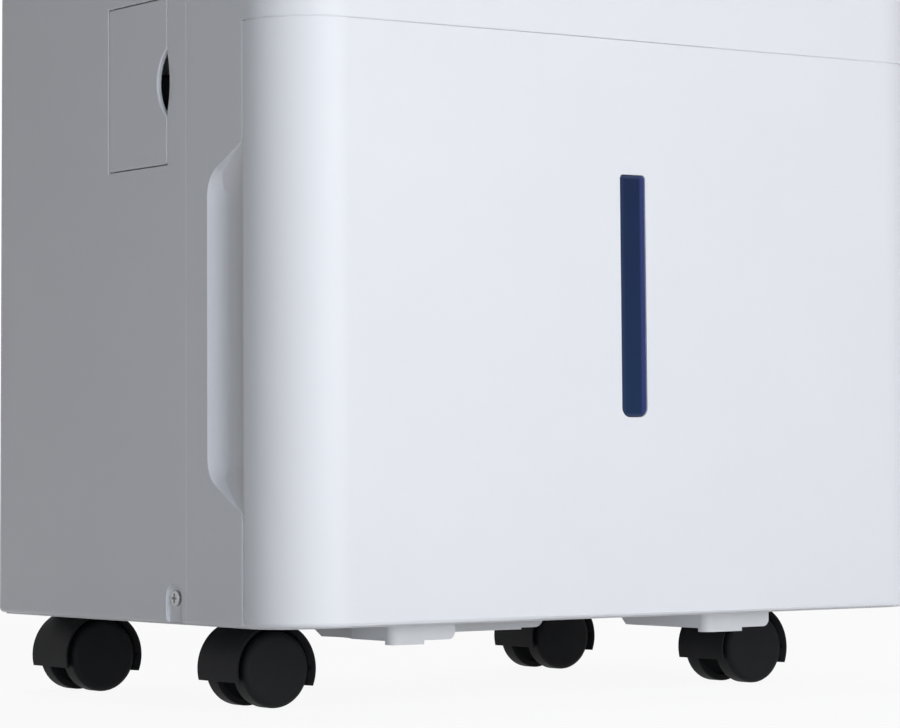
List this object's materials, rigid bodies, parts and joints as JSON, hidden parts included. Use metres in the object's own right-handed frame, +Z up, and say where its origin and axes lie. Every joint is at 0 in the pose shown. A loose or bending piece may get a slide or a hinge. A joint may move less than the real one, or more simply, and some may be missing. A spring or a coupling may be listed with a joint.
{
  "type": "dehumidifier",
  "caption": "White cabinet dehumidifier on twin-wheel casters with a pull-out front water tank, level window, side drain cover, rear intake with filter and top outlet flap",
  "frame": {"origin": "On the floor, under the middle of the casing", "axes": "+Z up, +X to the right seen from the front, front face with the tank towards -Y"},
  "size_m": [0.384, 0.27, 0.5026],
  "materials": {
    "shell_white": "satin",
    "panel_gloss": "gloss",
    "display": "gloss",
    "button_plastic": "gloss",
    "dark_plastic": "matte",
    "pan_plastic": "satin",
    "filter_plastic": "satin",
    "filter_mesh": "matte",
    "bucket_plastic": "satin",
    "window": "gloss",
    "float_foam": "matte",
    "lever_plastic": "satin",
    "caster_plastic": "satin",
    "axle_steel": "satin",
    "screw_steel": "satin",
    "rubber": "matte",
    "spout_plastic": "satin",
    "compressor_paint": "satin",
    "copper": "satin",
    "fins": "satin",
    "motor_metal": "satin",
    "board": "satin"
  },
  "bodies": {
    "casing": {"base_feet": "pan_plastic", "base_pan": "pan_plastic", "board_box": "dark_plastic", "capacitor": "motor_metal", "casing_screws": "screw_steel", "coil_tubes": "copper", "compressor": "compressor_paint", "compressor_grommets": "rubber", "compressor_nuts": "screw_steel", "condenser_fins": "fins", "control_board": "board", "control_panel": "panel_gloss", "cord_gland": "dark_plastic", "display_lens": "display", "drain_plug": "rubber", "drain_spout": "spout_plastic", "drip_tray": "dark_plastic", "evaporator_fins": "fins", "fan_motor": "motor_metal", "fan_scroll": "dark_plastic", "front_housing": "shell_white", "intake_grille": "shell_white", "outlet_grille": "dark_plastic", "rear_housing": "shell_white", "refrigerant_pipes": "copper", "tank_switch": "dark_plastic", "top_cover": "shell_white"},
    "tank": {"tank_front": "shell_white", "tank_bucket": "bucket_plastic", "tank_lid": "bucket_plastic", "water_window": "window"},
    "handle": {"tank_handle": "bucket_plastic"},
    "float_arm": {"float": "float_foam"},
    "lever": {"switch_lever": "lever_plastic"},
    "drain_door": {"drain_cover": "shell_white"},
    "louvre": {"outlet_louvre": "shell_white"},
    "filter": {"filter_frame": "filter_plastic", "filter_mesh": "filter_mesh"},
    "fan": {"fan_wheel": "dark_plastic"},
    "key_power": {"button_power": "button_plastic"},
    "key_mode": {"button_mode": "button_plastic"},
    "key_humidity": {"button_humidity": "button_plastic"},
    "key_fan": {"button_fan": "button_plastic"},
    "key_timer": {"button_timer": "button_plastic"},
    "caster_front_left_fork": {"caster_front_left_hood": "caster_plastic", "caster_front_left_axle": "axle_steel"},
    "caster_front_left_near": {"caster_front_left_wheel_near": "caster_plastic"},
    "caster_front_left_far": {"caster_front_left_wheel_far": "caster_plastic"},
    "caster_rear_left_fork": {"caster_rear_left_hood": "caster_plastic", "caster_rear_left_axle": "axle_steel"},
    "caster_rear_left_near": {"caster_rear_left_wheel_near": "caster_plastic"},
    "caster_rear_left_far": {"caster_rear_left_wheel_far": "caster_plastic"},
    "caster_front_right_fork": {"caster_front_right_hood": "caster_plastic", "caster_front_right_axle": "axle_steel"},
    "caster_front_right_near": {"caster_front_right_wheel_near": "caster_plastic"},
    "caster_front_right_far": {"caster_front_right_wheel_far": "caster_plastic"},
    "caster_rear_right_fork": {"caster_rear_right_hood": "caster_plastic", "caster_rear_right_axle": "axle_steel"},
    "caster_rear_right_near": {"caster_rear_right_wheel_near": "caster_plastic"},
    "caster_rear_right_far": {"caster_rear_right_wheel_far": "caster_plastic"}
  },
  "joints": [
    {"name": "tank_pull", "type": "slide", "parent": "casing", "child": "tank", "axis": [0, -1, 0], "range_m": [0, 0.11]},
    {"name": "handle_lift", "type": "hinge", "parent": "tank", "child": "handle", "pos_m": [0, -0.082, 0.2714], "axis": [-1, 0, 0], "range_deg": [0, 90]},
    {"name": "float_rise", "type": "hinge", "parent": "tank", "child": "float_arm", "pos_m": [-0.06, -0.04, 0.218], "axis": [-1, 0, 0], "range_deg": [0, 20]},
    {"name": "lever_press", "type": "hinge", "parent": "casing", "child": "lever", "pos_m": [-0.1, -0.0195, 0.246], "axis": [1, 0, 0], "range_deg": [0, 8], "stiffness_Nm_per_rad": 0.02},
    {"name": "drain_cover_swing", "type": "hinge", "parent": "casing", "child": "drain_door", "pos_m": [-0.19075, 0.02275, 0.288], "axis": [0, 0, -1], "range_deg": [0, 95]},
    {"name": "louvre_open", "type": "hinge", "parent": "casing", "child": "louvre", "pos_m": [0, 0.0562, 0.5008], "axis": [-1, 0, 0], "range_deg": [0, 75]},
    {"name": "filter_pull", "type": "slide", "parent": "casing", "child": "filter", "axis": [1, 0, 0], "range_m": [0, 0.3]},
    {"name": "fan_spin", "type": "hinge", "parent": "casing", "child": "fan", "pos_m": [0, 0.02, 0.402], "axis": [0, 1, 0], "continuous": true},
    {"name": "press_power", "type": "slide", "parent": "casing", "child": "key_power", "axis": [0, 0, -1], "range_m": [0, 0.001], "stiffness_N_per_m": 400},
    {"name": "press_mode", "type": "slide", "parent": "casing", "child": "key_mode", "axis": [0, 0, -1], "range_m": [0, 0.001], "stiffness_N_per_m": 400},
    {"name": "press_humidity", "type": "slide", "parent": "casing", "child": "key_humidity", "axis": [0, 0, -1], "range_m": [0, 0.001], "stiffness_N_per_m": 400},
    {"name": "press_fan", "type": "slide", "parent": "casing", "child": "key_fan", "axis": [0, 0, -1], "range_m": [0, 0.001], "stiffness_N_per_m": 400},
    {"name": "press_timer", "type": "slide", "parent": "casing", "child": "key_timer", "axis": [0, 0, -1], "range_m": [0, 0.001], "stiffness_N_per_m": 400},
    {"name": "swivel_front_left", "type": "hinge", "parent": "casing", "child": "caster_front_left_fork", "pos_m": [-0.142, -0.045, 0.03], "axis": [0, 0, 1], "continuous": true},
    {"name": "roll_front_left_near", "type": "hinge", "parent": "caster_front_left_fork", "child": "caster_front_left_near", "pos_m": [-0.153, -0.045, 0.0175], "axis": [0, 1, 0], "continuous": true},
    {"name": "roll_front_left_far", "type": "hinge", "parent": "caster_front_left_fork", "child": "caster_front_left_far", "pos_m": [-0.153, -0.045, 0.0175], "axis": [0, 1, 0], "continuous": true},
    {"name": "swivel_rear_left", "type": "hinge", "parent": "casing", "child": "caster_rear_left_fork", "pos_m": [-0.142, 0.1145, 0.03], "axis": [0, 0, 1], "continuous": true},
    {"name": "roll_rear_left_near", "type": "hinge", "parent": "caster_rear_left_fork", "child": "caster_rear_left_near", "pos_m": [-0.153, 0.1145, 0.0175], "axis": [0, 1, 0], "continuous": true},
    {"name": "roll_rear_left_far", "type": "hinge", "parent": "caster_rear_left_fork", "child": "caster_rear_left_far", "pos_m": [-0.153, 0.1145, 0.0175], "axis": [0, 1, 0], "continuous": true},
    {"name": "swivel_front_right", "type": "hinge", "parent": "casing", "child": "caster_front_right_fork", "pos_m": [0.142, -0.045, 0.03], "axis": [0, 0, 1], "continuous": true},
    {"name": "roll_front_right_near", "type": "hinge", "parent": "caster_front_right_fork", "child": "caster_front_right_near", "pos_m": [0.131, -0.045, 0.0175], "axis": [0, 1, 0], "continuous": true},
    {"name": "roll_front_right_far", "type": "hinge", "parent": "caster_front_right_fork", "child": "caster_front_right_far", "pos_m": [0.131, -0.045, 0.0175], "axis": [0, 1, 0], "continuous": true},
    {"name": "swivel_rear_right", "type": "hinge", "parent": "casing", "child": "caster_rear_right_fork", "pos_m": [0.142, 0.1145, 0.03], "axis": [0, 0, 1], "continuous": true},
    {"name": "roll_rear_right_near", "type": "hinge", "parent": "caster_rear_right_fork", "child": "caster_rear_right_near", "pos_m": [0.131, 0.1145, 0.0175], "axis": [0, 1, 0], "continuous": true},
    {"name": "roll_rear_right_far", "type": "hinge", "parent": "caster_rear_right_fork", "child": "caster_rear_right_far", "pos_m": [0.131, 0.1145, 0.0175], "axis": [0, 1, 0], "continuous": true}
  ]
}
